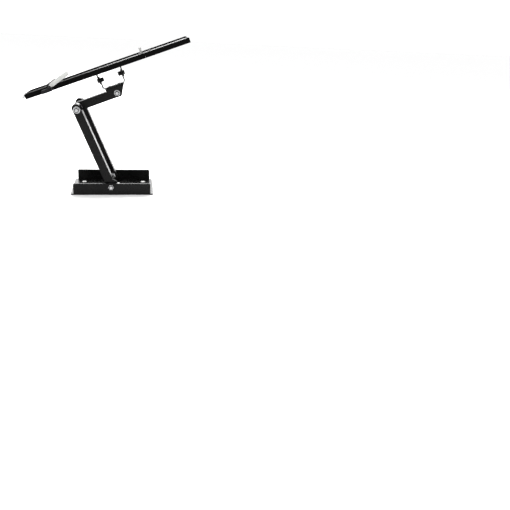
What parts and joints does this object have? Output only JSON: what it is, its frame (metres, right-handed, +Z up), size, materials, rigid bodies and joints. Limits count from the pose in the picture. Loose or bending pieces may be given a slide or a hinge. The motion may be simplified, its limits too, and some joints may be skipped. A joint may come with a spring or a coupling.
{
  "type": "articulated tray stand",
  "caption": "Black bench stand: folded base, paired lower arms, upper arm, wrist cradle and a long tilting tray with a translucent tool rest.",
  "frame": {"origin": "centre of the base plate's underside", "axes": "+X towards the tray's high end, +Y to the back, along every arm pivot, +Z up"},
  "size_m": [0.3263, 0.1352, 0.3117],
  "materials": {
    "satin_black": "satin black powder coat",
    "zinc_plated": "bright zinc plate",
    "turned_aluminium": "fine turned",
    "white_nylon": "natural nylon",
    "black_nylon": "matte",
    "black_plastic": "fine moulded grain",
    "black_steel": "black oxide",
    "clear_acrylic": "clear polished sheet",
    "frosted_acrylic": "translucent frosted moulding"
  },
  "bodies": {
    "base": {"base_tray": "satin_black", "base_inserts": "white_nylon", "foot_bolts": "zinc_plated", "foot_nuts": "zinc_plated", "foot_washers": "zinc_plated", "foot_bushes": "black_nylon"},
    "lower_arm": {"front_lower_arm": "satin_black", "rear_lower_arm": "satin_black", "elbow_bolt": "zinc_plated", "elbow_nut": "zinc_plated", "elbow_washers": "zinc_plated", "elbow_spacer_front": "turned_aluminium", "elbow_spacer_rear": "turned_aluminium"},
    "upper_arm": {"upper_arm": "satin_black"},
    "cradle": {"wrist_bracket": "satin_black", "wrist_bolt": "zinc_plated", "wrist_nut": "zinc_plated", "wrist_washers": "zinc_plated", "cradle": "satin_black", "cradle_screws": "black_steel", "roll_pins": "black_steel"},
    "left_knob": {"left_knob": "black_plastic"},
    "right_knob": {"right_knob": "black_plastic"},
    "tray": {"tray_saddle": "satin_black", "saddle_screws": "black_steel", "tray_main": "satin_black", "tray_upper": "satin_black", "splice_plate": "satin_black", "splice_screws": "black_steel", "end_stop": "clear_acrylic", "stand_offs": "zinc_plated", "peg": "frosted_acrylic", "hinge_block": "black_plastic"},
    "rest": {"rest_trough": "frosted_acrylic", "hinge_pin": "black_steel", "wire_bail": "black_steel"}
  },
  "joints": [
    {"name": "foot_pivot", "type": "hinge", "parent": "base", "child": "lower_arm", "pos_m": [-0.002, 0, 0.0162], "axis": [0, 1, 0], "range_deg": [-20, 18]},
    {"name": "elbow_pivot", "type": "hinge", "parent": "lower_arm", "child": "upper_arm", "pos_m": [-0.062, 0, 0.1693], "axis": [0, 1, 0], "range_deg": [-25, 30]},
    {"name": "wrist_pivot", "type": "hinge", "parent": "upper_arm", "child": "cradle", "pos_m": [0.0148, 0, 0.1988], "axis": [0, 1, 0], "range_deg": [-6, 35]},
    {"name": "tray_roll", "type": "hinge", "parent": "cradle", "child": "tray", "pos_m": [0.00349, 0, 0.22906], "axis": [0.9367, 0, 0.3502], "range_deg": [-15, 15]},
    {"name": "left_knob_turn", "type": "hinge", "parent": "cradle", "child": "left_knob", "pos_m": [0.00349, 0, 0.22906], "axis": [0.9367, 0, 0.3502], "continuous": true},
    {"name": "right_knob_turn", "type": "hinge", "parent": "cradle", "child": "right_knob", "pos_m": [0.00349, 0, 0.22906], "axis": [0.9367, 0, 0.3502], "continuous": true},
    {"name": "rest_tilt", "type": "hinge", "parent": "tray", "child": "rest", "pos_m": [-0.10972, -0.0505, 0.21203], "axis": [0, 1, 0], "range_deg": [-45, 10]}
  ]
}
